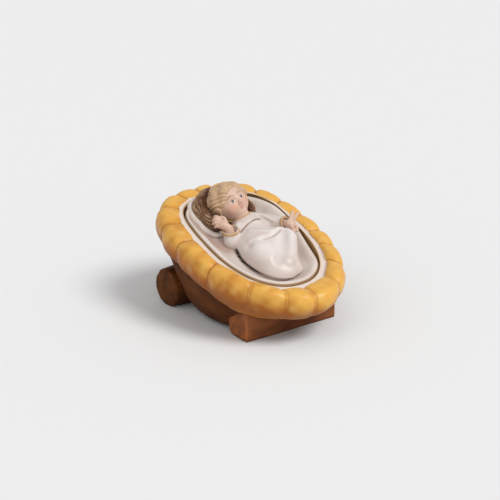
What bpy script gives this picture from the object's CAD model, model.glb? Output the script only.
import math

import bpy
import numpy as np
from mathutils import Matrix, Vector


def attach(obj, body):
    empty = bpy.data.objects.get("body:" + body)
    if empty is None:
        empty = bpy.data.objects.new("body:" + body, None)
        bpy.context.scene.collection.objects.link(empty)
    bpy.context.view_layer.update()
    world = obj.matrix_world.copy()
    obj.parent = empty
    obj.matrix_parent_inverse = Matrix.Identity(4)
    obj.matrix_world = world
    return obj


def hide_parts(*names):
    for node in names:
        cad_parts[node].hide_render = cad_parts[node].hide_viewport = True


# A carved and painted nativity child in its cradle. Sizes here are millimetres, made metres in mesh().
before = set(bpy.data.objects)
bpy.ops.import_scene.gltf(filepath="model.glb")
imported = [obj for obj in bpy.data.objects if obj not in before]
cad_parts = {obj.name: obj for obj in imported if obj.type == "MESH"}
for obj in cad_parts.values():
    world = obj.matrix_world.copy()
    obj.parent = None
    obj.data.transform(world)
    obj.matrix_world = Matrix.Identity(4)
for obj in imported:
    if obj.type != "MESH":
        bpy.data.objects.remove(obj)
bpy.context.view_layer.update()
print("frame loaded:", sorted(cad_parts))

mm = 0.001
upright = np.array([0.0, 0.0, 1.0])

# the tilted plane of the straw rim: u across, v towards the head end, n up out of it
tray = {"tilt": 14.1, "centre": (0.0, 0.734, 20.0)}


def toWorld(points):
    # tray point (u, v, n) turned about X by the tilt, then moved to the tray's centre
    tilt = math.radians(tray["tilt"])
    across, along, high = points[..., 0], points[..., 1], points[..., 2]
    y = along * math.cos(tilt) - high * math.sin(tilt)
    z = along * math.sin(tilt) + high * math.cos(tilt)
    return np.stack([across, y, z], axis=-1) + np.array(tray["centre"])


def toTray(points):
    # world millimetres back to tray coordinates
    tilt = math.radians(tray["tilt"])
    away = points - np.array(tray["centre"])
    along = away[..., 1] * math.cos(tilt) + away[..., 2] * math.sin(tilt)
    high = -away[..., 1] * math.sin(tilt) + away[..., 2] * math.cos(tilt)
    return np.stack([away[..., 0], along, high], axis=-1)


def smooth(low, high, value):
    # 0 below low, 1 above high, an S-curve between
    share = np.clip((value - low) / (high - low), 0.0, 1.0)
    return share * share * (3.0 - 2.0 * share)


def bump(value, width):
    # a bell: 1 at 0, falling to nothing at about twice the width
    return np.exp(-((value / width) ** 2))


def ripple(points, pitch, seed):
    # a smooth wandering value from about -1 to 1: the mean of sine waves in seeded directions, times fill
    waves, fill = 7, 1.8
    chance = np.random.default_rng(seed)
    total = np.zeros(points.shape[:-1])
    for _ in range(waves):
        way = chance.normal(size=3)
        way /= np.linalg.norm(way)
        stretch = chance.uniform(0.7, 1.6)
        total += np.sin(points @ way * (2.0 * math.pi * stretch / pitch) + chance.uniform(0.0, 6.28))
    return total / waves * fill


def mesh(name, points, quads, tones, paint):
    # points in millimetres and faces of four corners as one object, with its tones as point attributes
    data = bpy.data.meshes.new(name)
    data.vertices.add(len(points))
    data.vertices.foreach_set("co", (points * mm).astype(np.float32).ravel())
    data.loops.add(quads.size)
    data.loops.foreach_set("vertex_index", quads.astype(np.int32).ravel())
    data.polygons.add(len(quads))
    data.polygons.foreach_set("loop_start", np.arange(0, quads.size, 4, dtype=np.int32))
    data.polygons.foreach_set("loop_total", np.full(len(quads), 4, dtype=np.int32))
    data.update(calc_edges=True)
    data.validate()
    data.shade_smooth()
    for key, values in tones.items():
        layer = data.attributes.new(key, "FLOAT", "POINT")
        layer.data.foreach_set("value", np.asarray(values, dtype=np.float32).ravel())
    data.materials.append(paint)
    made = bpy.data.objects.new(name, data)
    bpy.context.scene.collection.objects.link(made)
    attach(made, "root")
    return made


def skinQuads(levels, count):
    # faces between neighbouring rings of a grid of levels by count points, closed round each ring
    level, step = np.meshgrid(np.arange(levels - 1), np.arange(count), indexing="ij")
    after = (step + 1) % count
    low, high = level * count, (level + 1) * count
    return np.stack([low + step, low + after, high + after, high + step], axis=-1).reshape(-1, 4)


def closeRings(rings):
    # the rings as one point list, with a tiny ring at each end whose middle is filled by folded quads
    levels, count, _ = rings.shape
    points = rings.reshape(-1, 3)
    quads = skinQuads(levels, count)
    pair = np.arange(count // 2 - 1)
    caps = []
    for start, turn in ((0, 1), ((levels - 1) * count, -1)):
        left, right = start + pair, start + pair + 1
        farRight, farLeft = start + count - 2 - pair, start + count - 1 - pair
        caps.append(np.stack([left, farLeft, farRight, right][::turn], axis=-1))
    return points, np.concatenate([quads] + caps)


def neighbourMean(values, quads):
    # for each point, the mean of the values at the points that its faces join it to
    a, b = quads.ravel(), np.roll(quads, -1, axis=1).ravel()
    size = len(values)
    weight = np.bincount(a, minlength=size) + np.bincount(b, minlength=size)
    total = [
        np.bincount(a, values[:, k][b], size) + np.bincount(b, values[:, k][a], size)
        for k in range(values.shape[1])
    ]
    return np.stack(total, axis=-1) / np.maximum(weight, 1)[:, None]


def pointNormals(points, quads):
    # the mean of the crossed diagonals of the faces round each point, made one long
    corner = points[quads]
    cross = np.cross(corner[:, 2] - corner[:, 0], corner[:, 3] - corner[:, 1])
    total = np.stack(
        [np.bincount(quads.ravel(), np.repeat(cross[:, k], 4), len(points)) for k in range(3)], axis=-1
    )
    return total / np.maximum(np.linalg.norm(total, axis=1, keepdims=True), 1e-12)


def facingOut(points, quads, away):
    # the faces and the points' normals, turned round unless they agree on the whole with the ways in away
    normals = pointNormals(points, quads)
    if np.sum(normals * away) < 0:
        return quads[:, ::-1], -normals
    return quads, normals


def hollows(points, quads, rounds):
    # how far the surface, smoothed over by so many rounds, lies above each point: + in grooves, - on edges
    eased = points
    for _ in range(rounds):
        eased = 0.5 * eased + 0.5 * neighbourMean(eased, quads)
    return np.einsum("ij,ij->i", eased - points, pointNormals(points, quads))


def colour(red, green, blue):
    # a screen colour from 0 to 255 as the linear colour that a shader takes
    value = np.array([red, green, blue]) / 255.0
    linear = np.where(value < 0.04045, value / 12.92, ((value + 0.055) / 1.055) ** 2.4)
    return (*[float(c) for c in linear], 1.0)


def paintMaterial(name, look):
    # base colour, mottled by noise on Object coordinates, then one coat of colour over another by attribute
    mottleSpan, grainSpan = (0.32, 0.68), (0.3, 0.7)  # the part of the noise that is spread over the range
    stretch = look.get("stretch", (1.0, 1.0, 1.0))
    made = bpy.data.materials.new(name)
    made.use_nodes = True
    nodes, links = made.node_tree.nodes, made.node_tree.links
    shader = nodes["Principled BSDF"]
    shader.inputs["Specular IOR Level"].default_value = look.get("specular", 0.5)
    shader.inputs["Coat Weight"].default_value = look.get("varnish", 0.15)
    shader.inputs["Coat Roughness"].default_value = look.get("varnishRoughness", 0.3)
    place = nodes.new("ShaderNodeTexCoord")

    def noise(scale, detail):
        fit = nodes.new("ShaderNodeMapping")
        fit.inputs["Scale"].default_value = stretch
        grain = nodes.new("ShaderNodeTexNoise")
        grain.inputs["Scale"].default_value = scale
        grain.inputs["Detail"].default_value = detail
        links.new(place.outputs["Object"], fit.inputs["Vector"])
        links.new(fit.outputs["Vector"], grain.inputs["Vector"])
        return grain.outputs["Fac"]

    def ranged(value, low, high, outLow, outHigh):
        fit = nodes.new("ShaderNodeMapRange")
        for key, number in (("From Min", low), ("From Max", high), ("To Min", outLow), ("To Max", outHigh)):
            fit.inputs[key].default_value = number
        links.new(value, fit.inputs["Value"])
        return fit.outputs["Result"]

    def mixed(share, under, over):
        mix = nodes.new("ShaderNodeMix")
        mix.data_type = "RGBA"
        links.new(share, mix.inputs["Factor"])
        for socket, value in (("A", under), ("B", over)):
            target = next(s for s in mix.inputs if s.name == socket and s.type == "RGBA")
            if isinstance(value, tuple):
                target.default_value = value
            else:
                links.new(value, target)
        return next(s for s in mix.outputs if s.type == "RGBA")

    mottle = ranged(noise(look["mottleScale"], 4.0), *mottleSpan, 0.0, 1.0)
    surface = mixed(mottle, look["base"], look["mottle"])
    for key, coat in look["coats"]:
        tone = nodes.new("ShaderNodeAttribute")
        tone.attribute_name = key
        surface = mixed(tone.outputs["Fac"], surface, coat)
    links.new(surface, shader.inputs["Base Color"])
    fine = noise(look["grainScale"], 6.0)
    links.new(ranged(fine, *grainSpan, *look["roughness"]), shader.inputs["Roughness"])
    relief = nodes.new("ShaderNodeBump")
    relief.inputs["Strength"].default_value = look["bumpStrength"]
    relief.inputs["Distance"].default_value = look["bumpDepth"] * mm
    links.new(fine, relief.inputs["Height"])
    links.new(relief.outputs["Normal"], shader.inputs["Normal"])
    return made


# camera, floor and light
view = {
    "azimuth": -36.24, "elevation": 21.48, "distance": 560.0, "aim": (0.0, 1.534, 15.0),
    "pixelsPerMm": 3.33, "aimPixel": (251.41, 262.46), "picture": 500.0, "sensor": 36.0,
}


def makeCamera():
    # the camera looks down on aim from its azimuth and elevation, turned so that aim falls on its pixel
    azimuth, elevation = math.radians(view["azimuth"]), math.radians(view["elevation"])
    right = Vector((math.cos(azimuth), math.sin(azimuth), 0.0))
    back = Vector((math.sin(azimuth) * math.cos(elevation), -math.cos(azimuth) * math.cos(elevation),
                   math.sin(elevation)))
    up = back.cross(right)
    aim = Vector(view["aim"]) * mm
    place = aim + back * view["distance"] * mm
    half = view["picture"] / 2
    offRight = (half - view["aimPixel"][0]) / view["pixelsPerMm"] * mm
    offDown = (half - view["aimPixel"][1]) / view["pixelsPerMm"] * mm
    ahead = (aim + right * offRight - up * offDown - place).normalized()
    side = ahead.cross(up).normalized()
    top = side.cross(ahead)
    data = bpy.data.cameras.new("camera")
    data.sensor_width = view["sensor"]
    data.lens = view["distance"] * view["pixelsPerMm"] / view["picture"] * view["sensor"]
    data.clip_start = 0.01
    camera = bpy.data.objects.new("camera", data)
    rows = [[side[k], top[k], -ahead[k], place[k]] for k in range(3)]
    camera.matrix_world = Matrix(rows + [[0.0, 0.0, 0.0, 1.0]])
    bpy.context.scene.collection.objects.link(camera)
    bpy.context.scene.camera = camera


light = {
    "room": (236, 236, 236), "roomStrength": 0.60,
    # name, the way the light comes from, its angular size in degrees, and its strength
    "lamps": (("key", (0.30, -0.55, 0.78), 26.0, 1.75), ("fill", (-0.70, -0.30, 0.65), 60.0, 0.4)),
    "floor": (236, 236, 236), "floorReach": 4.0,
}


def makeRoom():
    # a pale floor at z = 0, an even pale room, and broad soft lights from two sides
    world = bpy.data.worlds.new("room")
    world.use_nodes = True
    sky = world.node_tree.nodes["Background"]
    sky.inputs["Color"].default_value = colour(*light["room"])
    sky.inputs["Strength"].default_value = light["roomStrength"]
    bpy.context.scene.world = world
    reach = light["floorReach"]
    data = bpy.data.meshes.new("floor")
    data.from_pydata([(-reach, -reach, 0), (reach, -reach, 0), (reach, reach, 0), (-reach, reach, 0)], [],
                     [(0, 1, 2, 3)])
    ground = bpy.data.materials.new("pale floor")
    ground.use_nodes = True
    ground.node_tree.nodes["Principled BSDF"].inputs["Base Color"].default_value = colour(*light["floor"])
    ground.node_tree.nodes["Principled BSDF"].inputs["Roughness"].default_value = 0.9
    data.materials.append(ground)
    floor = bpy.data.objects.new("floor", data)
    bpy.context.scene.collection.objects.link(floor)
    for name, way, size, strength in light["lamps"]:
        lamp = bpy.data.lights.new(name, "SUN")
        lamp.angle = math.radians(size)
        lamp.energy = strength
        made = bpy.data.objects.new(name, lamp)
        made.rotation_mode = "QUATERNION"
        made.rotation_quaternion = (-Vector(way)).to_track_quat("-Z", "Y")
        bpy.context.scene.collection.objects.link(made)
    bpy.context.scene.view_settings.view_transform = "Standard"


makeCamera()
makeRoom()
print("camera, floor and light made")

# the carved body of the cradle
cradle = {
    "rimHalfWidth": 23.8, "rimHalfLength": 34.2, "headEndShorter": 1.9,
    "headSquareness": 2.75, "footSquareness": 1.92,
    "strawHalfWidth": 3.5, "strawRise": 4.3, "strawDrop": 5.3, "strawTuck": 3.2,
    "bundleEnds": (-121, -103, -76, -49, -25, -4, 25, 49, 68, 83, 100, 117, 134, 150, 167, 183, 201, 220),
    "tiedBands": (-49, -25, -4, 25), "bandHalfWidth": 0.36, "bandRise": 0.14, "bandSoftness": 0.45,
    "pillowDepth": 0.80, "pillowPower": 2.6, "lineDepth": 0.34, "lineWidth": 0.28,
    "recessHalfWidth": 16.4, "recessHalfLength": 23.5, "recessHeadLonger": 1.2,
    "recessHeadSquareness": 2.9, "recessFootSquareness": 2.2, "recessDepth": 8.2,
    "floorInsets": (16.2, 12.0, 8.0, 4.5, 2.6), "coveRise": 0.6,
    "wallSteps": 11, "wallLean": 1.7, "wallLeanPower": 2.2, "wallFoot": 0.9, "wallTopDrop": 0.2,
    "borderWidth": 1.85, "borderFootExtra": 0.45, "borderHeadLess": 0.55,
    "borderHeight": 3.3, "borderSlope": 0.08, "borderLip": 0.16, "borderTrough": 0.14,
    "borderShares": (0.0, 0.04, 0.09, 0.15, 0.25, 0.4, 0.55, 0.7, 0.82, 0.92, 1.0),
    "bowlHalfWidth": 14.2, "bowlHalfLength": 16.5, "bowlLift": 0.6, "bowlSquareness": 2.2,
    "bowlPower": 1.4, "sideFullness": 0.45, "footFullness": 3.2, "headFullness": 1.2,
    "steps": 640, "shoulder": 0.06,
    # how much further the straw hangs down, its middle in degrees round from the foot end, and its spread
    "strawHangs": ((1.85, -53.0, 19.0), (-1.4, 12.0, 24.0)),
    # the recess is a little wider on the far side of the head: width, middle in degrees, and spread
    "farGap": (0.95, 124.0, 22.0),
    # the recess wall is gilded on its far side: share of gold, middle in degrees, and spread
    "farGold": (0.55, 66.0, 34.0),
}


def squaredOval(turn, halfWidth, halfLength, squareness):
    # a superellipse: |x / width|^s + |y / length|^s = 1 in the direction turn, 0 at the foot end
    across, along = np.sin(turn), -np.cos(turn)
    reach = (np.abs(across) ** squareness + np.abs(along) ** squareness) ** (-1.0 / squareness)
    return halfWidth * across * reach, halfLength * along * reach


def rimOutline(turn, inset):
    headward = np.cos(turn) < 0
    squareness = np.where(headward, cradle["headSquareness"], cradle["footSquareness"])
    length = cradle["rimHalfLength"] - np.where(headward, cradle["headEndShorter"], 0.0)
    return squaredOval(turn, cradle["rimHalfWidth"] - inset, length - inset, squareness)


def recessOutline(turn, outset):
    headward = np.cos(turn) < 0
    squareness = np.where(headward, cradle["recessHeadSquareness"], cradle["recessFootSquareness"])
    length = cradle["recessHalfLength"] + np.where(headward, cradle["recessHeadLonger"], 0.0)
    return squaredOval(turn, cradle["recessHalfWidth"] + outset, length + outset, squareness)


def borderHeight(along):
    return np.minimum(cradle["borderHeight"] + cradle["borderSlope"] * along, 0.97 * cradle["strawRise"])


def bundleRelief(turn):
    # how far the straw is drawn in at each direction: a pillow in each bundle, a thin line at each tie,
    # and two lines with a raised band between them where a bundle is tied twice
    ends = np.array(list(cradle["bundleEnds"]) + [cradle["bundleEnds"][0] + 360.0])
    degrees = (np.degrees(turn) - ends[0]) % 360.0 + ends[0]
    index = np.clip(np.searchsorted(ends, degrees, side="right") - 1, 0, len(ends) - 2)
    share = (degrees - ends[index]) / (ends[index + 1] - ends[index])
    aside = 0.01  # a small turn, in radians, that the outline's speed is measured over
    x, y = rimOutline(turn, cradle["strawHalfWidth"])
    nextX, nextY = rimOutline(turn + aside, cradle["strawHalfWidth"])
    mmPerDegree = np.hypot(nextX - x, nextY - y) / math.degrees(aside)
    before = (degrees - ends[index]) * mmPerDegree
    after = (ends[index + 1] - degrees) * mmPerDegree
    near = np.minimum(before, after)
    nearest = np.where(before < after, ends[index], ends[index + 1])
    banded = np.isin(nearest, cradle["tiedBands"])
    line = np.where(banded, np.abs(near - cradle["bandHalfWidth"]), near)
    cut = bump(line, cradle["lineWidth"]) * (1.0 - cradle["bandSoftness"] * banded)
    band = banded * (near < cradle["bandHalfWidth"]) * (1.0 - cut)
    drawIn = (cradle["pillowDepth"] * np.abs(2.0 * share - 1.0) ** cradle["pillowPower"]
              + cradle["lineDepth"] * cut)
    drawIn = drawIn - band * cradle["bandRise"]
    return drawIn, cut


def cradleRings():
    # rings of tray points from the recess floor, over the border and the straw, and under its outer edge;
    # with each ring's tones: straw, cloth, gold and groove
    turn = np.linspace(0.0, 2.0 * math.pi, cradle["steps"], endpoint=False)
    rings, tones = [], []
    floor = cradle["borderHeight"] - cradle["recessDepth"]
    farGap, farGold = (
        most * bump(np.degrees(turn) - middle, spread)
        for most, middle, spread in (cradle["farGap"], cradle["farGold"]))
    rise, straw = cradle["strawRise"], cradle["strawHalfWidth"]

    def add(across, along, height, strawTone=0.0, clothTone=0.0, goldTone=0.0, grooveTone=0.0):
        rings.append(np.stack([across, along, np.broadcast_to(height, across.shape)], axis=-1))
        shares = (strawTone, clothTone, goldTone, grooveTone)
        tones.append([np.broadcast_to(share, across.shape) for share in shares])

    for inset in cradle["floorInsets"]:
        add(*recessOutline(turn, -inset), floor + cradle["coveRise"] * smooth(12.0, 3.0, inset))
    foot, drawn = cradle["wallFoot"], cradle["wallFoot"] + cradle["wallTopDrop"]
    for share in np.linspace(0.0, 1.0, cradle["wallSteps"]):
        lean = cradle["wallLean"] * (1.0 - share) ** cradle["wallLeanPower"]
        across, along = recessOutline(turn, farGap * share - lean)
        height = floor + foot + (borderHeight(along) - floor - drawn) * share
        add(across, along, height, goldTone=0.1 + 0.45 * share + farGold)
    drawIn, cut = bundleRelief(turn)
    degreesRound = (np.degrees(turn) + 180.0) % 360.0 - 180.0
    drop = cradle["strawDrop"] + sum(
        more * bump(degreesRound - middle, spread) for more, middle, spread in cradle["strawHangs"])
    scallop = 0.45 * (0.75 - drawIn) + 0.12 * np.sin(5.0 * turn + 1.0) + 0.1 * np.sin(23.0 * turn)
    width = cradle["borderWidth"] + cradle["borderFootExtra"] * np.clip(np.cos(turn), 0, 1) ** 2 - scallop
    width -= cradle["borderHeadLess"] * np.clip(-np.cos(turn), 0, 1)
    for share in cradle["borderShares"]:
        across, along = recessOutline(turn, farGap + (width - farGap) * share)
        lip = cradle["borderLip"] * bump(width * share - 0.25, 0.25)
        trough = -cradle["borderTrough"] * math.sin(math.pi * share)
        gold = 0.85 * bump(width * share - 0.1, 0.16)
        add(across, along, borderHeight(along) + lip + trough, clothTone=1.0, goldTone=gold)
    edgeAcross, edgeAlong = recessOutline(turn, width)
    edgeHeight = borderHeight(edgeAlong)
    crestAcross, crestAlong = rimOutline(turn, straw)
    crest = rise - drawIn
    for share in np.linspace(0.06, 0.94, 13):
        out = 1.0 - math.cos(share * math.pi / 2)
        up = math.sin(share * math.pi / 2)
        add(edgeAcross + (crestAcross - edgeAcross) * out, edgeAlong + (crestAlong - edgeAlong) * out,
            edgeHeight + (crest - edgeHeight) * up, strawTone=1.0, clothTone=1.0 - smooth(0.0, 0.14, share),
            grooveTone=cut)
    for degrees in np.linspace(90.0, -84.0, 46):
        swing = math.radians(degrees)
        if degrees > 0:
            fuller = 1.0 + cradle["shoulder"] * math.sin(2.0 * swing) ** 2
            inset, height = straw * (1.0 - math.cos(swing) * fuller), crest * math.sin(swing) * fuller
        else:
            inset = cradle["strawTuck"] * (1.0 - math.cos(swing))
            height = drop * math.sin(swing)
        across, along = rimOutline(turn, inset + drawIn * math.cos(swing))
        fade = smooth(-74.0, -44.0, degrees + 6.0 * np.sin(9.0 * turn))
        add(across, along, height, strawTone=fade, grooveTone=cut * smooth(-80.0, -40.0, degrees))
    return turn, np.array(rings), np.array(tones)


def hullRings(turn, top):
    # rings from the tucked edge under the straw down to the small oval that the bowl ends on: a ring's place
    # between the two is (1 - level) to a power, and that to a power of its own at the sides, foot and head
    across, along = squaredOval(
        turn, cradle["bowlHalfWidth"], cradle["bowlHalfLength"], cradle["bowlSquareness"])
    low = np.stack([across, along + tray["centre"][1], np.full(len(turn), cradle["bowlLift"])], axis=-1)
    ends = np.where(np.cos(turn) > 0, cradle["footFullness"], cradle["headFullness"])
    power = cradle["sideFullness"] + (ends - cradle["sideFullness"]) * np.cos(turn) ** 4
    rings = []
    for level in np.linspace(0.0, 1.0, 30)[1:]:
        share = (1.0 - level) ** cradle["bowlPower"]
        spread = (share**power)[:, None]
        flat = low[:, :2] + (top[:, :2] - low[:, :2]) * spread
        high = low[:, 2:] + (top[:, 2:] - low[:, 2:]) * share
        rings.append(np.concatenate([flat, high], axis=1))
    middle = np.array([0.0, tray["centre"][1], cradle["bowlLift"]])
    for share in (0.8, 0.5, 0.2, 0.02):
        rings.append(middle + (low - middle) * share)
    return np.array(rings)


strawPaint = {
    "base": colour(112, 66, 34), "mottle": colour(86, 48, 24), "mottleScale": 110.0,
    "grainScale": 420.0, "stretch": (1.0, 0.5, 1.0), "roughness": (0.27, 0.42), "specular": 0.26,
    "bumpStrength": 0.2, "bumpDepth": 0.10, "varnish": 0.06,
    "coats": (
        ("straw", colour(230, 173, 78)), ("strawDeep", colour(180, 102, 12)),
        ("strawPale", colour(238, 200, 122)), ("strawLow", colour(142, 78, 14)),
        ("groove", colour(168, 98, 36)), ("cloth", colour(226, 212, 202)),
        ("recess", colour(104, 66, 36)), ("gold", colour(190, 152, 100)),
    ),
}
bowlPaint = {
    "base": colour(108, 60, 24), "mottle": colour(70, 36, 14), "mottleScale": 170.0,
    "grainScale": 420.0, "stretch": (1.0, 0.4, 1.0), "roughness": (0.5, 0.66), "specular": 0.08,
    "bumpStrength": 0.25, "bumpDepth": 0.12, "varnish": 0.0, "coats": (("hollow", colour(54, 30, 15)),),
}


def makeCradle():
    # the upper skin, from the recess over the straw to its tucked edge, and the bowl that carries it
    turn, rings, tones = cradleRings()
    upper = toWorld(rings)
    points, quads = closeRings(upper)
    crest = smooth(2.0, 4.0, toTray(points)[:, 2])
    quads, normals = facingOut(points, quads, crest[:, None] * upright)
    straw, cloth, gold, groove = (tones[:, k].ravel() for k in range(4))
    carved = ripple(points, 7.0, 3) * 0.12 + ripple(points, 3.4, 4) * 0.06 + ripple(points, 1.9, 8) * 0.025
    carved *= 1.0 - 0.75 * cloth
    points = points + normals * carved[:, None]
    hollow = hollows(points, quads, 12)
    across, _, high = toTray(points).T
    low, near = smooth(3.2, -3.0, high), smooth(10.0, -24.0, across)
    strawMask = straw * (1.0 - cloth)
    recess = np.zeros(len(points))
    recess[: (len(cradle["floorInsets"]) + cradle["wallSteps"]) * cradle["steps"]] = 1.0
    deep = 0.28 * ripple(points, 9.0, 5) + 0.14 * ripple(points, 3.6, 6) + 0.90 * low + 0.42 * near - 0.14
    pale = 0.35 * ripple(points, 5.3, 7) + 1.5 * np.clip(-hollow, 0, 1) - 0.12
    tone = {
        "straw": strawMask, "strawDeep": strawMask * np.clip(deep, 0, 1),
        "strawPale": strawMask * np.clip(pale, 0, 0.7),
        "strawLow": strawMask * 0.85 * smooth(0.6, -3.6, high),
        "groove": strawMask * np.clip(0.45 * groove + 3.2 * np.clip(hollow, 0, 1), 0, 0.9),
        "cloth": cloth, "recess": recess, "gold": gold * np.maximum(cloth, 0.75 * recess),
    }
    rim = mesh("straw_rim", points, quads, tone, paintMaterial("straw and cloth paint", strawPaint))
    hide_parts("cradle")

    # the bowl starts a little inside the straw's tucked edge
    lower = hullRings(turn, upper[-1])
    middle = upper[-1].mean(axis=0)
    inside = middle + (upper[-1] - middle) * 0.985 + (0.0, 0.0, 0.25)
    points, quads = closeRings(np.concatenate([inside[None], upper[-1:], lower]))
    quads, normals = facingOut(points, quads, (points - middle) * (1, 1, 0))
    carved = ripple(points, 7.0, 3) * 0.10 + ripple(points, 2.6, 4) * 0.03
    points = points + normals * (carved * smooth(0.9, 4.0, points[:, 2]))[:, None]
    underStraw = smooth(-2.0, 1.5, toTray(points)[:, 2] + cradle["strawDrop"])
    shade = 0.5 * underStraw + 0.6 * smooth(4.0, 0.8, points[:, 2])
    bowl = mesh("cradle_bowl", points, quads, {"hollow": shade}, paintMaterial("bowl stain", bowlPaint))
    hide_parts("cradle")


makeCradle()
print("cradle body made")

# the cross log and the foot block
log = {
    "halfLength": 19.2, "endRadius": 5.8, "middleRadius": 6.6, "height": 5.6, "setback": 19.234,
    "edgeRounding": 0.7, "sides": 160,
}
foot = {
    "halfWidth": 16.4, "depth": 9.0, "height": 10.4, "front": -18.466,
    "backRounding": 3.0, "edgeRounding": 0.4,
}
logWood = {
    "base": colour(108, 62, 26), "mottle": colour(70, 38, 14), "mottleScale": 190.0,
    "grainScale": 500.0, "stretch": (0.3, 1.0, 1.0), "roughness": (0.5, 0.66), "specular": 0.08,
    "bumpStrength": 0.3, "bumpDepth": 0.12, "varnish": 0.0,
    "coats": (("worn", colour(150, 88, 48)), ("hollow", colour(50, 28, 15))),
}
blockWood = dict(logWood, base=colour(156, 95, 58), mottle=colour(104, 60, 36),
                 coats=(("worn", colour(200, 116, 54)), ("hollow", colour(48, 26, 14))))


def makeLog():
    # a barrel turned about X: its radius swells by a cosine to the middle, its ends are rounded and closed
    half, soft = log["halfLength"], log["edgeRounding"]
    across, radius = [], []
    for share in (0.02, 0.2, 0.4, 0.6, 0.8, 0.92):
        across.append(-half - 0.12 * (1.0 - share**2))
        radius.append((log["endRadius"] - soft) * share)
    for swing in np.radians(np.linspace(0.0, 90.0, 8)):
        across.append(-half + soft * (1.0 - math.cos(swing)))
        radius.append(log["endRadius"] - soft + soft * math.sin(swing))
    for share in np.linspace(-1.0, 0.0, 40)[1:]:
        swell = (log["middleRadius"] - log["endRadius"]) * math.cos(share * math.pi / 2) ** 0.7
        across.append((half - soft) * share)
        radius.append(log["endRadius"] + swell)
    across = np.array(across + [-x for x in across[-2::-1]])
    radius = np.array(radius + radius[-2::-1])
    around = np.linspace(0.0, 2.0 * math.pi, log["sides"], endpoint=False)
    rings = np.stack(
        [np.repeat(across[:, None], log["sides"], axis=1),
         log["setback"] + radius[:, None] * np.cos(around),
         log["height"] + radius[:, None] * np.sin(around)],
        axis=-1,
    )
    points, quads = closeRings(rings)
    quads, normals = facingOut(points, quads, (points - log["height"]) * upright)
    points = points + normals * (ripple(points * (0.35, 1, 1), 3.0, 11) * 0.08)[:, None]
    points[:, 2] = np.maximum(points[:, 2], 0.0)
    hollow = hollows(points, quads, 10)
    worn = np.clip(-hollow * 6.0 - 0.25 + 0.2 * ripple(points, 4.0, 23), 0, 0.7)
    tone = {"worn": worn,
            "hollow": np.maximum(np.clip(hollow * 6.0, 0, 0.8), 0.8 * smooth(1.6, 0.1, points[:, 2]))}
    made = mesh("cross_log", points, quads, tone, paintMaterial("log wood", logWood))
    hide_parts("cradle")


def roundedLoop(corners, count):
    # a closed loop round the corners (y, z, rounding), each turned on an arc of its own radius
    loop = []
    for (ay, az, _), (by, bz, rounding), (cy, cz, _) in zip(
            corners[-1:] + corners[:-1], corners, corners[1:] + corners[:1]):
        corner = np.array([by, bz])
        back = np.array([ay, az]) - corner
        on = np.array([cy, cz]) - corner
        back, on = back / np.linalg.norm(back), on / np.linalg.norm(on)
        middle = corner + (back + on) * rounding
        for swing in np.linspace(0.0, math.pi / 2, 9):
            loop.append(middle - on * rounding * math.cos(swing) - back * rounding * math.sin(swing))
    loop = np.array(loop + [loop[0]])
    walked = np.concatenate([[0.0], np.cumsum(np.linalg.norm(np.diff(loop, axis=0), axis=1))])
    marks = np.linspace(0.0, walked[-1], count, endpoint=False)
    return np.stack([np.interp(marks, walked, loop[:, k]) for k in range(2)], axis=-1)


def makeBlock():
    # the side outline of the block carried along X, drawn in at both ends so that the edges are rounded
    front, back = foot["front"], foot["front"] + foot["depth"]
    soft, half = foot["edgeRounding"], foot["halfWidth"]
    corners = [(front, 0.0, soft), (front, foot["height"], soft), (back, foot["height"], soft),
               (back, 0.0, foot["backRounding"])]
    loop = roundedLoop(corners, 200)
    middle = np.array([(front + back) / 2, foot["height"] / 2])
    rings = []
    across, shrink = [], []
    for share in (0.02, 0.3, 0.6, 0.85):
        across.append(-half)
        shrink.append((1.0 - share) * 4.0 + soft)
    for swing in np.radians(np.linspace(0.0, 90.0, 7)):
        across.append(-half + soft * (1.0 - math.cos(swing)))
        shrink.append(soft * (1.0 - math.sin(swing)))
    for x in np.linspace(-half + soft, half - soft, 90)[1:-1]:
        across.append(x)
        shrink.append(0.0)
    across = across + [-x for x in across[10::-1]]
    shrink = shrink + shrink[10::-1]
    away = loop - middle
    size = np.abs(away).max(axis=0)
    for x, inset in zip(across, shrink):
        drawn = middle + away * (1.0 - inset / size)
        rings.append(np.stack([np.full(len(loop), x), drawn[:, 0], drawn[:, 1]], axis=-1))
    points, quads = closeRings(np.array(rings))
    quads, normals = facingOut(points, quads, (points - middle[1]) * upright)
    points = points + normals * (ripple(points * (0.5, 1, 1), 4.0, 21) * 0.07)[:, None]
    points[:, 2] = np.maximum(points[:, 2], 0.0)
    hollow = hollows(points, quads, 10)
    worn = np.clip(-hollow * 7.0 - 0.1 + 0.2 * ripple(points, 5.0, 22), 0, 0.6)
    tone = {"worn": worn,
            "hollow": np.maximum(np.clip(hollow * 6.0, 0, 0.8), 0.8 * smooth(0.9, 0.1, points[:, 2]))}
    made = mesh("foot_block", points, quads, tone, paintMaterial("block wood", blockWood))
    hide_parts("cradle")


makeLog()
makeBlock()
print("log and block made")


def viewWay():
    # the way to the camera, in tray axes
    azimuth, elevation = math.radians(view["azimuth"]), math.radians(view["elevation"])
    back = np.array([math.sin(azimuth) * math.cos(elevation), -math.cos(azimuth) * math.cos(elevation),
                     math.sin(elevation)])
    return toTray(back + np.array(tray["centre"]))


def onSkin(work, knots, reach=7.0):
    # moves each point along the line of sight to where that line first enters the carved form
    marks = np.linspace(reach, -reach, 281)
    rays = np.asarray(knots, dtype=float)[:, None, :3] + marks[None, :, None] * viewWay()
    low = np.array([axis[0] for axis in work["axes"]])
    cells = np.clip(np.round((rays - low) / work["step"]).astype(int), 0, np.array(work["far"].shape) - 1)
    inside = work["far"][cells[..., 0], cells[..., 1], cells[..., 2]] < 0
    first = np.where(inside.any(axis=1), inside.argmax(axis=1), len(marks) // 2)
    return rays[np.arange(len(rays)), first]


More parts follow.
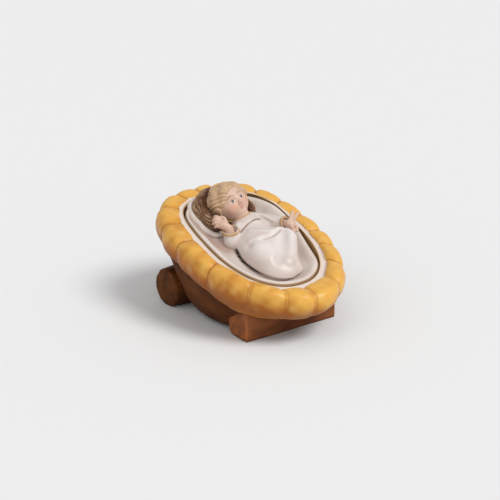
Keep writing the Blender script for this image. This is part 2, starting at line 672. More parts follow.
# the child's forms are added to a block of space as distances, and the skin is taken where they are nothing
def newCarving(low, high, step):
    axes = [np.arange(low[k], high[k] + step, step, dtype=np.float32) for k in range(3)]
    return {"axes": axes, "far": np.full([len(a) for a in axes], 20.0, np.float32), "step": step}


def softer(one, other, blend):
    # the lesser of two distances, rounded off where they differ by less than the blend
    share = np.clip(0.5 + 0.5 * (other - one) / blend, 0.0, 1.0)
    return other + (one - other) * share - blend * share * (1.0 - share)


def carve(work, shape, low, high, blend, away=False):
    # joins a shape to the work, or cuts it away, inside a window a little larger than the shape
    room = 1.6 * blend + 3.0 * work["step"]
    window = tuple(
        slice(max(int(np.searchsorted(axis, low[k] - room)), 0), int(np.searchsorted(axis, high[k] + room)))
        for k, axis in enumerate(work["axes"])
    )
    there = work["far"][window]
    grid = np.meshgrid(*[axis[w] for axis, w in zip(work["axes"], window)], indexing="ij", sparse=True)
    here = shape(*grid)
    there[...] = -softer(-there, here, blend) if away else softer(there, here, blend)


def ballShape(centre, radii):
    # an ellipsoid: the distance to its middle measured in radii, made nearly true by its own slope
    def distance(x, y, z):
        dx, dy, dz = x - centre[0], y - centre[1], z - centre[2]
        inRadii = np.sqrt((dx / radii[0]) ** 2 + (dy / radii[1]) ** 2 + (dz / radii[2]) ** 2) + 1e-6
        slope = np.sqrt((dx / radii[0] ** 2) ** 2 + (dy / radii[1] ** 2) ** 2
                        + (dz / radii[2] ** 2) ** 2) + 1e-6
        return inRadii * (inRadii - 1.0) / slope
    return distance


def addBall(work, centre, radii, blend, away=False):
    radii = np.broadcast_to(np.asarray(radii, dtype=float), (3,))
    centre = np.asarray(centre, dtype=float)
    carve(work, ballShape(centre, radii), centre - radii, centre + radii, blend, away)


def smoothPath(knots, count):
    # a curve through every knot: on each stretch a cubic whose slope at a knot follows its two neighbours
    knots = np.asarray(knots, dtype=float)
    ends = np.concatenate([2 * knots[:1] - knots[1:2], knots, 2 * knots[-1:] - knots[-2:-1]])
    mark = np.linspace(0.0, len(knots) - 1.0, count)
    first = np.minimum(mark.astype(int), len(knots) - 2)
    t = (mark - first)[:, None]
    a, b, c, d = (ends[first + k] for k in range(4))
    return b + 0.5 * t * (c - a + t * (2 * a - 5 * b + 4 * c - d + t * (3 * (b - c) + d - a)))


def addStrand(work, knots, blend, away=False, count=None):
    # a limb of changing thickness along a smooth path; a knot is (x, y, z, radius)
    path = smoothPath(knots, count or (len(knots) * 4 if len(knots) > 2 else 2))

    def distance(x, y, z):
        least = None
        for a, b in zip(path[:-1], path[1:]):
            way = b[:3] - a[:3]
            share = ((x - a[0]) * way[0] + (y - a[1]) * way[1] + (z - a[2]) * way[2]) / max(way @ way, 1e-9)
            share = np.clip(share, 0.0, 1.0)
            gap = np.sqrt((x - a[0] - way[0] * share) ** 2 + (y - a[1] - way[1] * share) ** 2
                          + (z - a[2] - way[2] * share) ** 2) - (a[3] + (b[3] - a[3]) * share)
            least = gap if least is None else np.minimum(least, gap)
        return least

    thick = path[:, 3].max()
    carve(work, distance, path[:, :3].min(axis=0) - thick, path[:, :3].max(axis=0) + thick, blend, away)


def strandGap(points, knots, count=40):
    # the distance of each point to a smooth path
    path = smoothPath(np.asarray(knots, dtype=float)[:, : points.shape[1]], count)
    least = np.full(len(points), 99.0)
    for a, b in zip(path[:-1], path[1:]):
        way = b - a
        share = np.clip((points - a) @ way / max(way @ way, 1e-9), 0.0, 1.0)
        least = np.minimum(least, np.linalg.norm(points - a - share[:, None] * way, axis=1))
    return least


def withRadius(knots, radius):
    # the knots with a radius beside each, one for all or one for every knot
    return np.concatenate([knots, np.broadcast_to(radius, len(knots))[:, None]], axis=1)


def skinOf(work, rounds=1):
    # one point in each cell that the zero surface crosses, at the mean of the crossings on the cell's edges,
    # and one face round each crossed edge, turned outwards; then eased by some rounds. The distances are
    # first blurred a little, so that no single cell stands alone
    far = work["far"]
    for axis in range(3):
        far = 0.7 * far + 0.15 * (np.roll(far, 1, axis) + np.roll(far, -1, axis))
    cells = np.array(far.shape) - 1
    strides = np.array([cells[1] * cells[2], cells[2], 1])
    size = int(np.prod(cells))
    total, count, faces = np.zeros((3, size)), np.zeros(size), []
    for axis in range(3):
        first = far[tuple(slice(0, -1) if k == axis else slice(None) for k in range(3))]
        second = far[tuple(slice(1, None) if k == axis else slice(None) for k in range(3))]
        at = np.argwhere((first < 0) != (second < 0))
        a, b = first[tuple(at.T)], second[tuple(at.T)]
        crossing = at.astype(float)
        crossing[:, axis] += a / (a - b)
        ring = []
        for stepU, stepV in ((0, 0), (-1, 0), (-1, -1), (0, -1)):
            cell = at.copy()
            cell[:, (axis + 1) % 3] += stepU
            cell[:, (axis + 2) % 3] += stepV
            key = cell @ strides
            ring.append(key)
            count += np.bincount(key, minlength=size)
            for k in range(3):
                total[k] += np.bincount(key, crossing[:, k], size)
        ring = np.stack(ring, axis=-1)
        ring[a > 0] = ring[a > 0][:, ::-1]
        faces.append(ring)
    used = np.flatnonzero(count)
    number = np.zeros(size, dtype=np.int64)
    number[used] = np.arange(len(used))
    points = (total[:, used] / count[used]).T * work["step"] + [axis[0] for axis in work["axes"]]
    quads = number[np.concatenate(faces)]
    for _ in range(rounds):
        points = 0.5 * points + 0.5 * neighbourMean(points, quads)
    return points, quads


child = {
    "seatClearance": 0.3, "lipHeadDip": 1.0, "dishDepth": 2.5,
    # how far the lip rises or dips, its middle in degrees round from the foot end, and its half spread
    "lipWaves": ((0.2, 118.0, 34.0), (-1.3, 68.0, 32.0)),
    "blanketSteps": 420, "blanketRings": 76,
    # shares of the blanket's rings: the dish starts, and the gilded edge ends
    "dishFrom": 0.5, "edgeUntil": (0.465, 0.435),
    "robeStep": 0.19, "headStep": 0.12, "handStep": 0.12,
    "headCentre": (0.0, 14.85, 7.1), "crownWay": (-0.29, 0.84, 0.625), "faceWay": (0.02, -0.67, 0.74),
}
# lines on the robe, as tray points
lines = {
    "neck": ((-3.0, 10.2, 4.0), (-2.4, 8.5, 5.0), (-1.4, 7.9, 5.5), (0.1, 7.5, 6.0), (2.4, 8.4, 5.8),
             (5.2, 10.1, 5.2), (5.6, 12.0, 4.2)),
    "chest": ((-4.0, 2.0, 5.2), (-2.0, 3.1, 5.8), (0.0, 3.8, 6.3), (2.6, 4.6, 6.5), (4.7, 4.5, 6.4)),
    "waist": ((-5.7, -4.2, 4.4), (-3.9, -3.9, 5.2), (-1.9, -4.7, 6.0), (0.5, -5.7, 6.6), (3.2, -5.4, 7.0),
              (6.1, -4.0, 7.2)),
    "shin": ((6.6, -4.5, 6.4), (4.6, -7.4, 5.6), (2.5, -10.3, 4.8), (0.4, -12.6, 4.1), (-1.6, -14.1, 3.6)),
    "valley": ((-12.6, 19.0), (-13.4, 14.0), (-12.9, 8.5), (-10.6, 4.2), (-9.0, 1.0)),
    "contact": ((-6.29, -0.09, 0.79), (-7.31, -3.52, 0.52), (-7.44, -6.95, 0.24), (-6.16, -11.55, -0.12),
                (-4.31, -14.91, -0.39), (-0.17, -17.87, -0.55), (4.58, -17.12, -0.5), (7.4, -14.4, -0.2)),
}


def contactWeight(local):
    # the shadow line beside the robe is full at the elbow and thins out towards the foot end
    return 0.22 + 0.78 * smooth(2.0, -5.0, local[:, 0]) * smooth(-16.5, -9.0, local[:, 1])


whitePaint = {
    "base": colour(222, 210, 202), "mottle": colour(213, 199, 190), "mottleScale": 160.0,
    "grainScale": 700.0, "roughness": (0.36, 0.52), "bumpStrength": 0.2, "bumpDepth": 0.08,
    "specular": 0.35, "varnish": 0.05,
    "coats": (("hollow", colour(166, 136, 121)), ("contact", colour(26, 14, 9)),
              ("edge", colour(160, 130, 96))),
}


def makeBlanket():
    # rings round the recess outline: up its wall with the seat's clearance, over a rounded lip, and down
    # a dished slope to a floor that follows the lip, with soft radial folds
    gap, floor = child["seatClearance"], cradle["borderHeight"] - cradle["recessDepth"]
    turn = np.linspace(0.0, 2.0 * math.pi, child["blanketSteps"], endpoint=False)
    bottom, dish = floor + gap, -child["dishDepth"]
    # inset, height above the recess floor's level, share of the border's own height, and height over that
    profile = [
        (16.0, bottom, 0.0, 0.0), (9.5, bottom + 0.06, 0.0, 0.0), (4.5, bottom + 0.6, 0.0, 0.0),
        (1.6, bottom + 1.4, 0.35, 0.0), (0.5, bottom + 1.8, 0.8, 0.0), (0.05, 0.0, 1.0, -0.3),
        (0.1, 0.0, 1.0, 0.15), (0.45, 0.0, 1.0, 0.55), (1.1, 0.0, 1.0, 0.62), (1.9, 0.0, 1.0, 0.25),
        (3.2, 0.0, 1.0, 0.42 * dish), (4.8, 0.0, 1.0, 0.82 * dish), (6.4, 0.0, 1.0, 0.97 * dish),
        (9.0, 0.0, 1.0, dish), (12.5, 0.0, 1.0, dish), (15.6, 0.0, 1.0, dish),
    ]
    path = smoothPath(profile, child["blanketRings"])
    wing = -child["lipHeadDip"] * smooth(0.35, 0.95, -np.cos(turn))
    for rise, centre, spread in child["lipWaves"]:
        away = np.abs((np.degrees(turn) - centre + 180.0) % 360.0 - 180.0)
        wing += rise * np.cos(np.clip(away / spread, 0, 1) * math.pi / 2) ** 2
    drawn = 0.45 * np.clip(-wing / 1.3, 0, 1)
    rings = []
    for inset, base, share, rise in path:
        across, along = recessOutline(turn, -inset - gap - drawn * share)
        raised = smooth(0.9, 1.0, share)
        fold = 0.10 * np.sin(17.0 * turn + 2.0 * np.sin(3.0 * turn)) * bump(inset - 3.2, 2.0) * raised
        height = base + borderHeight(along) * share + rise + wing * raised + fold
        rings.append(np.stack([across, along, height], axis=-1))
    local, quads = closeRings(np.array(rings))
    points = toWorld(local)
    quads, _ = facingOut(points, quads, (points - points.mean(axis=0)) * upright)
    hollow = hollows(points, quads, 10)
    weight = contactWeight(local)
    beside = strandGap(local[:, :2], np.array(lines["contact"])[:, :2])
    contact = weight * smooth(0.75, 0.35, beside / (0.22 + 0.7 * weight))
    valley = bump(strandGap(local[:, :2], np.array(lines["valley"])), 2.4)
    level = np.repeat(np.arange(child["blanketRings"]) / child["blanketRings"], child["blanketSteps"])
    inDish = level > child["dishFrom"]
    tone = {"hollow": np.clip(hollow * 5.0 + 0.85 * valley * inDish, 0, 0.8), "contact": contact * inDish,
            "edge": smooth(*child["edgeUntil"], level)}
    made = mesh("blanket", points, quads, tone, paintMaterial("white cloth paint", whitePaint))
    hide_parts("child_on_blanket")


def tubeRings(knots, count, sides, relief):
    # a round profile of changing radius carried along a smooth path, its frame held upright by the tray's n;
    # relief(share along, angle round) is added to the radius
    path = smoothPath(knots, count)
    centre, radius = path[:, :3], path[:, 3]
    way = np.gradient(centre, axis=0)
    way /= np.linalg.norm(way, axis=1, keepdims=True)
    side = np.cross(way, upright)
    side /= np.linalg.norm(side, axis=1, keepdims=True)
    over = np.cross(side, way)
    around = np.linspace(0.0, 2.0 * math.pi, sides, endpoint=False)
    share = np.linspace(0.0, 1.0, count)
    reach = radius[:, None] + relief(share[:, None], around[None, :]) * smooth(0.0, 0.35, radius)[:, None]
    ring = (side[:, None, :] * np.cos(around)[None, :, None]
            + over[:, None, :] * np.sin(around)[None, :, None])
    return centre[:, None, :] + ring * reach[:, :, None]


def tubeSkin(knots, count, sides, relief):
    # a tube's points in the tray and in the world, and its faces turned away from its middle line
    rings = tubeRings(knots, count, sides, relief)
    local, quads = closeRings(rings)
    points = toWorld(local)
    middle = np.repeat(rings.mean(axis=1), sides, axis=0)
    quads, _ = facingOut(points, quads, points - toWorld(middle))
    return local, points, quads


hayPaint = {
    "base": colour(128, 94, 66), "mottle": colour(104, 72, 48), "mottleScale": 240.0,
    "grainScale": 900.0, "roughness": (0.42, 0.6), "bumpStrength": 0.3, "bumpDepth": 0.1,
    "specular": 0.25, "varnish": 0.0,
    "coats": (("ridge", colour(182, 150, 118)), ("hollow", colour(74, 46, 28)),
              ("shade", colour(78, 40, 18))),
}

pillow = {
    "hayRadius": 7.9, "hayThickness": 2.9, "hayFrom": 224.0, "hayTo": -24.0, "hayLow": 2.7, "hayHigh": 5.1,
    "strands": 18, "strandDepth": 0.20,
    "slip": ((2.0, 24.4, 3.3, 0.4), (-3.4, 24.6, 3.7, 0.75), (-7.6, 23.0, 3.6, 1.0),
             (-9.9, 19.2, 3.2, 1.1), (-10.8, 14.6, 2.7, 1.15), (-10.6, 10.6, 2.3, 1.1),
             (-9.2, 8.0, 2.1, 0.9), (-6.8, 6.6, 2.2, 0.4)),
}


def makePillow():
    # the hay roll: a thick tube on an arc round the head. Its strands are the size of a sine of the angle
    # round, whose phase wanders along the tube, times a share that breaks them up, plus low lumps
    head = child["headCentre"]
    knots = []
    for share in np.linspace(0.0, 1.0, 11):
        swing = math.radians(pillow["hayFrom"] + (pillow["hayTo"] - pillow["hayFrom"]) * share)
        lift = 0.5 - 0.5 * math.cos(2.0 * math.pi * share)
        end = math.sin(math.pi * share) ** 0.22 if 0.0 < share < 1.0 else 0.0
        height = pillow["hayLow"] + (pillow["hayHigh"] - pillow["hayLow"]) * lift
        knots.append((head[0] + pillow["hayRadius"] * math.cos(swing),
                      head[1] - 0.5 + pillow["hayRadius"] * math.sin(swing), height,
                      0.5 + (pillow["hayThickness"] - 0.5) * end))

    def strands(along, around):
        wander = 0.9 * np.sin(9.0 * along + 2.0) + 0.5 * np.sin(31.0 * along + 3.0 * around)
        line = pillow["strands"] * around / 2.0 + 3.0 * wander + 9.0 * along
        fine = np.sin(2.3 * line + 40.0 * along)
        broken = 0.5 + 0.5 * np.sin(23.0 * along + 4.0 * around) * np.sin(5.0 * around - 11.0 * along + 1.0)
        lump = 0.16 * np.sin(3.0 * around + 14.0 * along) + 0.14 * np.sin(26.0 * along - 2.0 * around)
        strand = (np.abs(np.sin(line)) * 2.0 - 1.3) * (0.3 + broken)
        return pillow["strandDepth"] * strand + 0.06 * fine + lump

    local, points, quads = tubeSkin(knots, 260, 150, strands)
    hollow = hollows(points, quads, 8)
    inner = np.linalg.norm(local[:, :2] - np.array(head[:2]), axis=1)
    streak = 0.45 * ripple(local, 3.2, 13) + 0.25 * smooth(8.6, 10.4, inner)
    tone = {"ridge": np.clip(-hollow * 6.0 + streak, 0, 0.9),
            "hollow": np.clip(hollow * 6.0 - 0.3 * streak, 0, 0.9),
            "shade": 0.95 * smooth(9.3, 7.4, inner + 0.5 * ripple(local, 2.4, 12))}
    made = mesh("hay_pillow", points, quads, tone, paintMaterial("brown hay paint", hayPaint))
    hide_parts("child_on_blanket")

    # the white slip: a slimmer tube along the outside of the hay, thinned out at both ends
    def puckers(along, around):
        return 0.05 * np.sin(38.0 * along + 2.0 * around)

    local, points, quads = tubeSkin(pillow["slip"], 200, 90, puckers)
    tone = {key: np.zeros(len(points)) for key in ("hollow", "contact", "edge")}
    made = mesh("pillow_slip", points, quads, tone, paintMaterial("white slip paint", whitePaint))
    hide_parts("child_on_blanket")


arms = {
    "nearCuff": (-5.6, 4.8, 4.6), "nearWay": (-0.26, 0.11, 0.97), "nearRadius": 2.45,
    "farCuff": (10.6, 0.1, 6.5), "farWay": (0.15, -0.94, 0.30), "farRadius": 1.6,
    "hem": 0.36, "mouth": 2.4,
}


def cuffRing(centre, way, radius, count=33):
    # a circle about way, as closed knots
    way = np.array(way) / np.linalg.norm(way)
    side = np.cross(way, (0.3, 0.2, 1.0))
    side /= np.linalg.norm(side)
    over = np.cross(side, way)
    swing = np.linspace(0.0, 2.0 * math.pi, count)[:, None]
    return np.array(centre) + radius * (side * np.cos(swing) + over * np.sin(swing))


robePaint = {
    "base": colour(221, 209, 202), "mottle": colour(211, 197, 189), "mottleScale": 180.0,
    "grainScale": 700.0, "roughness": (0.32, 0.48), "bumpStrength": 0.2, "bumpDepth": 0.08,
    "specular": 0.4, "varnish": 0.08,
    "coats": (("lit", colour(236, 230, 228)), ("hollow", colour(166, 140, 126)),
              ("crease", colour(118, 82, 56)), ("contact", colour(26, 14, 9)),
              ("gold", colour(190, 148, 92))),
}

robe = {
    # forms in the order they flow together, in tray millimetres: limbs by knots of u, v, n and radius, and
    # balls by centre and radii, each with its blend
    "forms": (
        (addStrand, ((1.9, 10.2, 3.2, 2.9), (2.0, 5.6, 2.7, 4.3)), 1.0),
        (addBall, (1.9, 5.2, 2.4), (5.8, 5.0, 3.9), 1.6),
        (addBall, (1.3, -1.4, 2.3), (6.8, 6.4, 4.5), 1.8),
        # far sleeve, with a lap of cloth hanging from it
        (addStrand, ((5.4, 8.6, 3.0, 2.8), (8.4, 5.0, 4.1, 2.35), (9.8, 2.4, 5.1, 2.0),
                     (10.6, 0.1, 6.4, 1.65)), 1.2),
        (addStrand, ((8.2, 4.0, 2.2, 2.0), (9.2, 1.0, 3.4, 1.5), (9.4, -1.4, 4.4, 1.0)), 1.0),
        # legs: the near thigh is the broad mass in front, the far knee stands up with the shin before it
        (addStrand, ((-2.0, -5.6, 2.1, 4.5), (-2.6, -9.0, 1.9, 4.7), (-1.8, -12.8, 1.2, 4.0),
                     (0.6, -15.6, 0.6, 3.2)), 1.8),
        (addStrand, ((-4.3, -1.0, 1.0, 3.0), (-4.9, -7.2, 0.7, 3.2), (-3.9, -11.8, 0.4, 3.2),
                     (-2.0, -15.0, 0.2, 3.1), (0.2, -15.9, 0.0, 2.9), (3.4, -15.2, 0.0, 2.9)), 1.2),
        (addStrand, ((5.4, -2.6, 3.2, 3.2), (7.9, -5.6, 5.3, 2.4), (6.8, -8.3, 4.5, 2.35),
                     (5.0, -11.2, 3.5, 2.2), (3.4, -13.4, 2.8, 2.0)), 1.8),
        (addStrand, ((6.4, -6.0, 2.2, 3.1), (5.2, -11.4, 0.6, 3.1), (3.8, -14.6, 0.2, 3.0)), 1.3),
        (addStrand, ((4.4, -4.4, 3.8, 2.3), (2.4, -9.0, 2.9, 2.4), (0.9, -12.4, 2.0, 2.3)), 2.2),
        (addBall, (1.2, -14.85, 3.5), (2.15, 2.05, 1.75), 0.6),
        # near sleeve, a bag of cloth from the shoulder to the elbow and up to the raised cuff
        (addStrand, ((-1.6, 4.8, 3.0, 2.9), (-4.4, 3.0, 2.4, 2.6), (-6.1, 2.6, 1.8, 2.35),
                     (-6.0, 3.5, 2.5, 2.25), (-5.6, 4.8, 4.3, 2.35)), 0.9),
    ),
    # the cloth over the belly ends in a soft edge above the thighs: radii, and its way from the waist line
    "lapRadii": (0.3, 0.7, 0.95, 0.95, 0.8), "lapAside": (0.1, 0.9, -0.75),
    "folds": (
        ((3.6, 8.6, 6.1), (6.2, 5.3, 6.2), (8.2, 2.4, 6.4)),
        ((-2.2, 6.4, 5.6), (-3.2, 4.8, 5.4), (-4.2, 3.6, 4.8)),
        ((-1.8, 0.6, 6.3), (0.6, -1.6, 6.9), (4.0, -2.8, 7.0)),
    ),
    "foldRadii": (0.2, 0.45, 0.2), "foldSink": 0.2,
    # creases by line: radius, how far their middle stands off the skin, and blend
    "creases": (("chest", 0.34, 0.16, 0.3), ("waist", 1.1, 0.85, 1.2), ("shin", 1.4, 1.18, 1.4)),
    "waistRadii": (0.05, 0.16, 0.26, 0.16), "waistShares": (0.0, 0.45, 0.8, 1.0),
    "farCrease": ((6.0, 7.0, 6.0, 0.4), (7.0, 3.4, 5.9, 0.4), (7.5, 0.2, 6.0, 0.4)),
    "neckHem": 0.36, "slitRadius": 1.05, "slitEnd": (7.6, -16.4, 0.1),
}


def makeRobe():
    # chest, belly, sleeves and legs flow together; folds are soft ridges and creases laid on them
    work = newCarving((-13.0, -22.0, -3.2), (15.5, 14.5, 11.5), child["robeStep"])
    for add, *values in robe["forms"]:
        add(work, *values)
    lap = onSkin(work, lines["waist"][1:]) + robe["lapAside"]
    addStrand(work, withRadius(lap, robe["lapRadii"]), 1.8)
    for knots in robe["folds"]:
        addStrand(work, withRadius(onSkin(work, knots) - robe["foldSink"] * upright, robe["foldRadii"]), 1.1)
    for key, radius, lift, blend in robe["creases"]:
        laid = onSkin(work, lines[key])
        ending = 0.3 * (key == "shin") * smooth(0.45, 1.0, np.linspace(0.0, 1.0, len(laid)))
        laid[:, 2] += lift + ending
        addStrand(work, withRadius(laid, radius), blend, away=True)
    crisp = onSkin(work, lines["waist"])
    taper = np.interp(np.linspace(0, 1, len(crisp)), robe["waistShares"], robe["waistRadii"])
    addStrand(work, withRadius(crisp + 0.08 * upright, taper), 0.4, away=True)
    addStrand(work, robe["farCrease"], 0.7, away=True)
    # open cuffs with a turned hem, and the neck's hem
    cuffs = [[arms[side + part] for part in ("Cuff", "Way", "Radius")] for side in ("near", "far")]
    for centre, way, radius in cuffs:
        out = np.array(way) / np.linalg.norm(way)
        inner = np.array(centre) - out * 1.2
        beyond = np.array(centre) + out * arms["mouth"]
        opening = np.array(centre) + out * 0.9
        addStrand(work, ((*opening, radius * 0.9), (*beyond, radius * 1.5)), 0.15, away=True)
        addStrand(work, ((*inner, radius * 0.62), (*beyond, radius * 0.95)), 0.2, away=True)
        addStrand(work, withRadius(cuffRing(centre, way, radius), arms["hem"]), 0.25, count=49)
    neck = onSkin(work, lines["neck"])
    addStrand(work, withRadius(neck, robe["neckHem"]), 0.3)
    # a dark slit between the robe and the blanket along the near side
    slit = [(x - 0.85, y - 0.8, z + 0.25) for x, y, z in lines["contact"][:-1]]
    addStrand(work, withRadius(np.array(slit + [robe["slitEnd"]]), robe["slitRadius"]), 0.2, away=True)
    chest, waist = onSkin(work, lines["chest"]), onSkin(work, lines["waist"])
    local, quads = skinOf(work, 2)
    points = toWorld(local)
    hollow = hollows(points, quads, 14)
    gold = bump(strandGap(local, neck), 0.52)
    for cuff in cuffs:
        gold = np.maximum(gold, bump(strandGap(local, cuffRing(*cuff)), 0.55))
    crease = np.maximum(0.95 * bump(strandGap(local, chest), 0.30),
                        0.45 * smooth(-2.0, 3.0, local[:, 0]) * bump(strandGap(local, waist), 0.30))
    weight = contactWeight(local)
    contact = weight * smooth(0.62, 0.30, strandGap(local, lines["contact"]) / (0.22 + 0.5 * weight))
    # the near side of the skirt and the elbow are shaded
    flank = bump(strandGap(local, ((-6.6, -2.0, 3.0), (-7.2, -6.5, 2.4), (-5.6, -11.5, 1.8))), 2.2)
    hollow = hollow + 0.05 * flank
    knees = bump(strandGap(local, ((-3.5, -7.5, 6.5), (1.0, -9.5, 6.0), (6.0, -6.0, 7.5))), 4.0)
    tone = {"hollow": np.clip(hollow * 3.4, 0, 0.75), "lit": np.clip(0.55 * knees - hollow * 3.0, 0, 0.8),
            "crease": crease, "contact": contact, "gold": smooth(0.35, 0.75, gold)}
    made = mesh("robe", points, quads, tone, paintMaterial("white robe paint", robePaint))
    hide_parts("child_on_blanket")
    print("robe points:", len(points))


def headTurn():
    # the head's own axes as rows: towards its left, up through the crown, and forward from the face
    crown = np.array(child["crownWay"]) / np.linalg.norm(child["crownWay"])
    face = np.array(child["faceWay"]) - crown * (np.array(child["faceWay"]) @ crown)
    face /= np.linalg.norm(face)
    return np.stack([np.cross(crown, face), crown, face])


headPaint = {
    "base": colour(217, 184, 163), "mottle": colour(211, 176, 154), "mottleScale": 220.0,
    "grainScale": 800.0, "roughness": (0.34, 0.48), "bumpStrength": 0.12, "bumpDepth": 0.05,
    "specular": 0.4,
    "coats": (("shade", colour(172, 118, 94)), ("blush", colour(216, 148, 126)),
              ("lips", colour(194, 104, 88)), ("hair", colour(198, 162, 126)),
              ("ridge", colour(232, 206, 176)), ("groove", colour(118, 80, 54)),
              ("eyeWhite", colour(238, 232, 226)), ("iris", colour(52, 36, 28)),
              ("glint", colour(250, 250, 250)), ("lash", colour(90, 56, 42)), ("brow", colour(146, 104, 78))),
}

eye = (1.85, -0.75, 4.05)
face = {
    "skull": (0.1, 0.2, -0.4), "skullRadii": (5.5, 5.6, 5.7),
    "jaw": (0.0, -1.9, 1.3), "jawRadii": (4.2, 4.0, 3.85),
    "locks": 13, "lockDepth": 0.56, "strandDepth": 0.07, "hairThickness": 0.70,
    "whorl": (0.18, 0.72, -0.67),
    # features on both sides, given for one: place with radii or knots, blend, and whether it is cut away
    "paired": (
        (addBall, (2.15, -2.35, 3.2), (1.7, 1.5, 1.5), 1.1),
        (addBall, (1.9, -0.55, 6.05), (1.35, 0.75, 1.35), 0.7, True),
        (addBall, eye, 0.95, 0.12),
        (addStrand, ((0.85, 0.25, 5.2, 0.3), (1.8, 0.62, 5.0, 0.4), (3.0, 0.2, 4.1, 0.3)), 0.7),
        (addStrand, ((1.0, -0.72, 4.78, 0.1), (1.45, -0.3, 4.98, 0.17), (2.1, -0.26, 4.83, 0.17),
                     (2.75, -0.65, 4.35, 0.1)), 0.12),
        (addStrand, ((1.1, -0.95, 4.72, 0.08), (1.8, -1.28, 4.72, 0.12), (2.6, -0.9, 4.35, 0.08)), 0.15),
        (addBall, (0.55, -2.3, 5.35), (0.42, 0.36, 0.45), 0.25),
        (addBall, (5.15, -0.9, -0.3), (0.75, 1.35, 0.95), 0.35),
        (addBall, (5.75, -0.8, 0.05), (0.45, 0.8, 0.5), 0.25, True),
    ),
    # nose, lips, the line between them, and chin
    "middle": (
        (addStrand, ((0.0, -0.2, 4.9, 0.5), (0.0, -1.2, 5.3, 0.45), (0.0, -2.05, 5.75, 0.6)), 0.5),
        (addStrand, ((-1.0, -3.25, 4.72, 0.12), (-0.42, -3.02, 5.06, 0.26), (0.0, -3.1, 5.12, 0.22),
                     (0.42, -3.02, 5.06, 0.26), (1.0, -3.25, 4.72, 0.12)), 0.22),
        (addStrand, ((-0.8, -3.42, 4.75, 0.12), (0.0, -3.6, 5.0, 0.34), (0.8, -3.42, 4.75, 0.12)), 0.22),
        (addStrand, ((-1.1, -3.26, 4.9, 0.05), (0.0, -3.34, 5.5, 0.08), (1.1, -3.26, 4.9, 0.05)), 0.1, True),
        (addBall, (0.0, -4.55, 3.35), (1.35, 1.0, 1.05), 0.9),
    ),
    # painted lines, by points on one side
    "lash": ((1.0, -0.78, 4.8), (1.45, -0.42, 5.02), (2.1, -0.38, 4.86), (2.75, -0.75, 4.4)),
    "brow": ((0.9, 0.55, 0.0), (1.9, 0.95, 0.0), (3.0, 0.6, 0.0)),
}


def hairPattern(x, y, z):
    # locks wind out of a whorl behind the crown: phase is the angle round the whorl plus a twist that grows
    # with the distance from it; the hairline is a tilted plane, pushed down along the middle of each lock
    whorl = np.array(face["whorl"]) / np.linalg.norm(face["whorl"])
    side = np.cross(whorl, (0.0, 0.0, 1.0))
    side /= np.linalg.norm(side)
    over = np.cross(side, whorl)
    length = np.sqrt(x * x + y * y + z * z) + 1e-6
    polar = np.arccos(np.clip((x * whorl[0] + y * whorl[1] + z * whorl[2]) / length, -1, 1))
    azimuth = np.arctan2(x * over[0] + y * over[1] + z * over[2], x * side[0] + y * side[1] + z * side[2])
    phase = (face["locks"] * azimuth + 7.0 * polar + 2.3 * np.sin(2.0 * azimuth + 4.0 * polar)
             + 1.9 * np.sin(6.0 * polar + 3.0 * azimuth))
    lock = np.sqrt(np.abs(np.sin(phase / 2)))
    fine = np.sin(phase * 2.5 + 5.0 * np.sin(3.0 * polar + azimuth))
    line = y - 0.80 * z + 1.35 + 0.075 * x * x + 0.9 * (lock - 0.6) + 0.4 * np.sin(3.0 * azimuth + 1.0)
    toss = 0.24 * np.sin(5.0 * azimuth + 3.0 * polar) + 0.18 * np.sin(8.0 * azimuth - 6.0 * polar + 1.0)
    relief = face["lockDepth"] * (lock - 0.55) + face["strandDepth"] * fine + toss
    return line, relief * smooth(0.12, 0.5, polar)


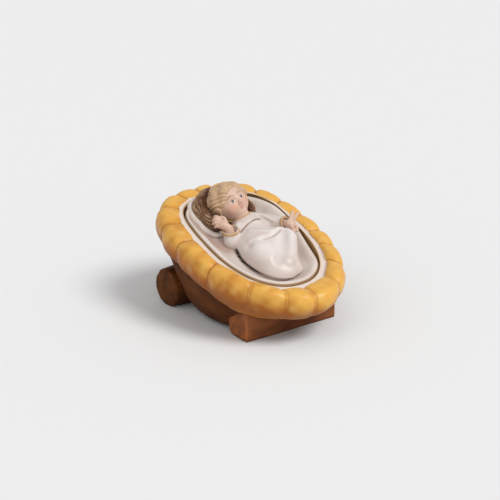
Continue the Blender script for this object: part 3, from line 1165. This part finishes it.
def makeHead():
    # skull, cheeks, nose, lips, chin and ears in the head's own axes, under a cap of locks
    work = newCarving((-7.4, -9.8, -7.8), (7.4, 7.6, 7.8), child["headStep"])
    turn = headTurn()
    addBall(work, face["skull"], face["skullRadii"], 0.5)
    addBall(work, face["jaw"], face["jawRadii"], 1.5)
    neck = turn @ (np.array((1.8, 9.0, 4.6)) - child["headCentre"])
    addStrand(work, ((0.0, -2.6, -0.6, 2.7), (*neck, 2.6)), 0.9)
    for way in (-1.0, 1.0):
        for add, place, *values in face["paired"]:
            mirrored = np.array(place)
            mirrored[..., 0] *= way
            add(work, mirrored, *values)
    for add, *values in face["middle"]:
        add(work, *values)
    skull = ballShape(face["skull"], face["skullRadii"])

    def hair(x, y, z):
        line, relief = hairPattern(x, y, z)
        return skull(x, y, z) - (face["hairThickness"] + relief) * smooth(0.0, 0.7, line)

    carve(work, hair, (-7.0, -7.0, -7.4), (7.0, 7.2, 7.4), 0.15)
    head, quads = skinOf(work, 1)
    points = toWorld(head @ turn + child["headCentre"])
    hollow = hollows(points, quads, 10)
    x, y, z = head.T
    line, _ = hairPattern(x, y, z)
    hair = smooth(0.05, 0.4, line)
    front = z > 2.5
    side = np.abs(x)
    apart, up, _ = eye
    eyeX, eyeY = (side - apart) / 0.82, (y - up - 0.02) / 0.40
    eyeWhite = smooth(1.15, 0.8, np.sqrt(eyeX**2 + eyeY**2)) * front
    iris = smooth(0.54, 0.42, np.hypot(side - apart, y - up - 0.05)) * front
    glint = smooth(0.11, 0.06, np.hypot(x - np.sign(x) * apart + 0.12, y - up - 0.2)) * front
    lash = bump(strandGap(np.stack([side, y, z], 1), face["lash"]), 0.13)
    flat = np.stack([side, y, np.zeros_like(z)], 1)
    brow = 0.75 * bump(strandGap(flat, face["brow"]), 0.2) * front
    lips = bump(np.sqrt((x / 1.0) ** 2 + ((y + 3.32) / 0.52) ** 2), 0.85) ** 1.5 * front
    cheek, noseTip = bump(np.hypot(side - 2.6, y + 2.3), 1.3), bump(np.hypot(x, y + 2.2), 0.7)
    blush = np.maximum(cheek, 0.7 * noseTip) * front
    bare = 1.0 - hair
    tone = {
        "hair": hair, "ridge": hair * np.clip(-hollow * 6.0, 0, 0.9),
        "groove": hair * np.clip(hollow * 7.0, 0, 0.95),
        "shade": bare * np.clip(hollow * 3.0, 0, 0.5),
        "blush": 0.55 * bare * blush, "lips": 0.85 * bare * lips,
        "eyeWhite": eyeWhite, "iris": iris * (eyeWhite > 0.1), "glint": glint, "lash": 0.8 * bare * lash,
        "brow": bare * brow,
    }
    made = mesh("head", points, quads, tone, paintMaterial("skin and hair paint", headPaint))
    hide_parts("child_on_blanket")
    print("head points:", len(points))


hands = {
    # wrist and fingers by knots of u, v, n and radius in tray millimetres; the last near finger is the thumb
    "near_hand": {
        "block": ((-11.0, 2.6, 2.0), (-3.0, 12.6, 10.5)),
        "wrist": ((-5.7, 4.6, 3.6, 1.5), (-6.1, 5.4, 5.0, 1.35), (-7.0, 6.4, 5.7, 1.3)),
        "palm": (-7.5, 7.0, 5.9), "palmRadii": (1.5, 1.6, 1.2),
        "fingers": (((-7.2, 8.0, 6.6, 0.62), (-7.9, 9.2, 7.2, 0.6), (-8.2, 10.0, 7.0, 0.52)),
                    ((-7.7, 7.7, 6.4, 0.62), (-8.6, 8.8, 6.8, 0.6), (-9.0, 9.4, 6.4, 0.52)),
                    ((-8.1, 7.2, 6.0, 0.6), (-9.0, 8.0, 6.2, 0.56), (-9.4, 8.6, 5.7, 0.5)),
                    ((-8.2, 6.6, 5.5, 0.54), (-9.1, 7.1, 5.6, 0.5), (-9.4, 7.6, 5.1, 0.44)),
                    ((-6.4, 6.6, 6.5, 0.6), (-6.5, 7.6, 7.3, 0.56), (-7.0, 8.5, 7.5, 0.5))),
    },
    "far_hand": {
        "block": ((7.5, -9.0, 3.0), (16.4, 3.5, 12.0)),
        "wrist": ((10.5, 0.6, 6.0, 1.15), (10.6, -0.9, 6.7, 1.05), (10.7, -1.8, 7.0, 1.05)),
        "palm": (10.8, -2.3, 7.2), "palmRadii": (1.15, 1.35, 1.05),
        "fingers": (((11.1, -1.6, 7.8, 0.62), (12.1, -0.8, 8.9, 0.6), (13.0, -0.2, 9.7, 0.5)),
                    ((11.7, -2.1, 7.8, 0.6), (12.9, -1.7, 8.8, 0.58), (14.0, -1.4, 9.6, 0.48)),
                    ((11.5, -2.9, 7.3, 0.58), (11.7, -4.4, 7.2, 0.55), (10.9, -5.9, 6.9, 0.47)),
                    ((10.7, -3.0, 7.0, 0.56), (10.4, -4.5, 6.9, 0.52), (10.0, -5.6, 6.7, 0.45))),
    },
}


def makeHand(name):
    # a wrist, a palm and fingers that flow into it
    hand = hands[name]
    work = newCarving(*hand["block"], child["handStep"])
    addStrand(work, hand["wrist"], 0.4)
    addBall(work, hand["palm"], hand["palmRadii"], 0.6)
    for finger in hand["fingers"]:
        addStrand(work, finger, 0.25)
    local, quads = skinOf(work, 1)
    points = toWorld(local)
    hollow = hollows(points, quads, 8)
    tone = {key: np.zeros(len(points)) for key, _ in headPaint["coats"]}
    tone["shade"] = np.clip(hollow * 3.0, 0, 0.6)
    tone["blush"] = np.clip(0.06 + ripple(points, 3.0, 8) * 0.12, 0, 0.3)
    made = mesh(name, points, quads, tone, paintMaterial(name.replace("_", " ") + " paint", headPaint))
    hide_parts("child_on_blanket")


makeBlanket()
makePillow()
print("blanket and pillow made")
makeRobe()
makeHead()
for name in hands:
    makeHand(name)
print("robe, head and hands made")
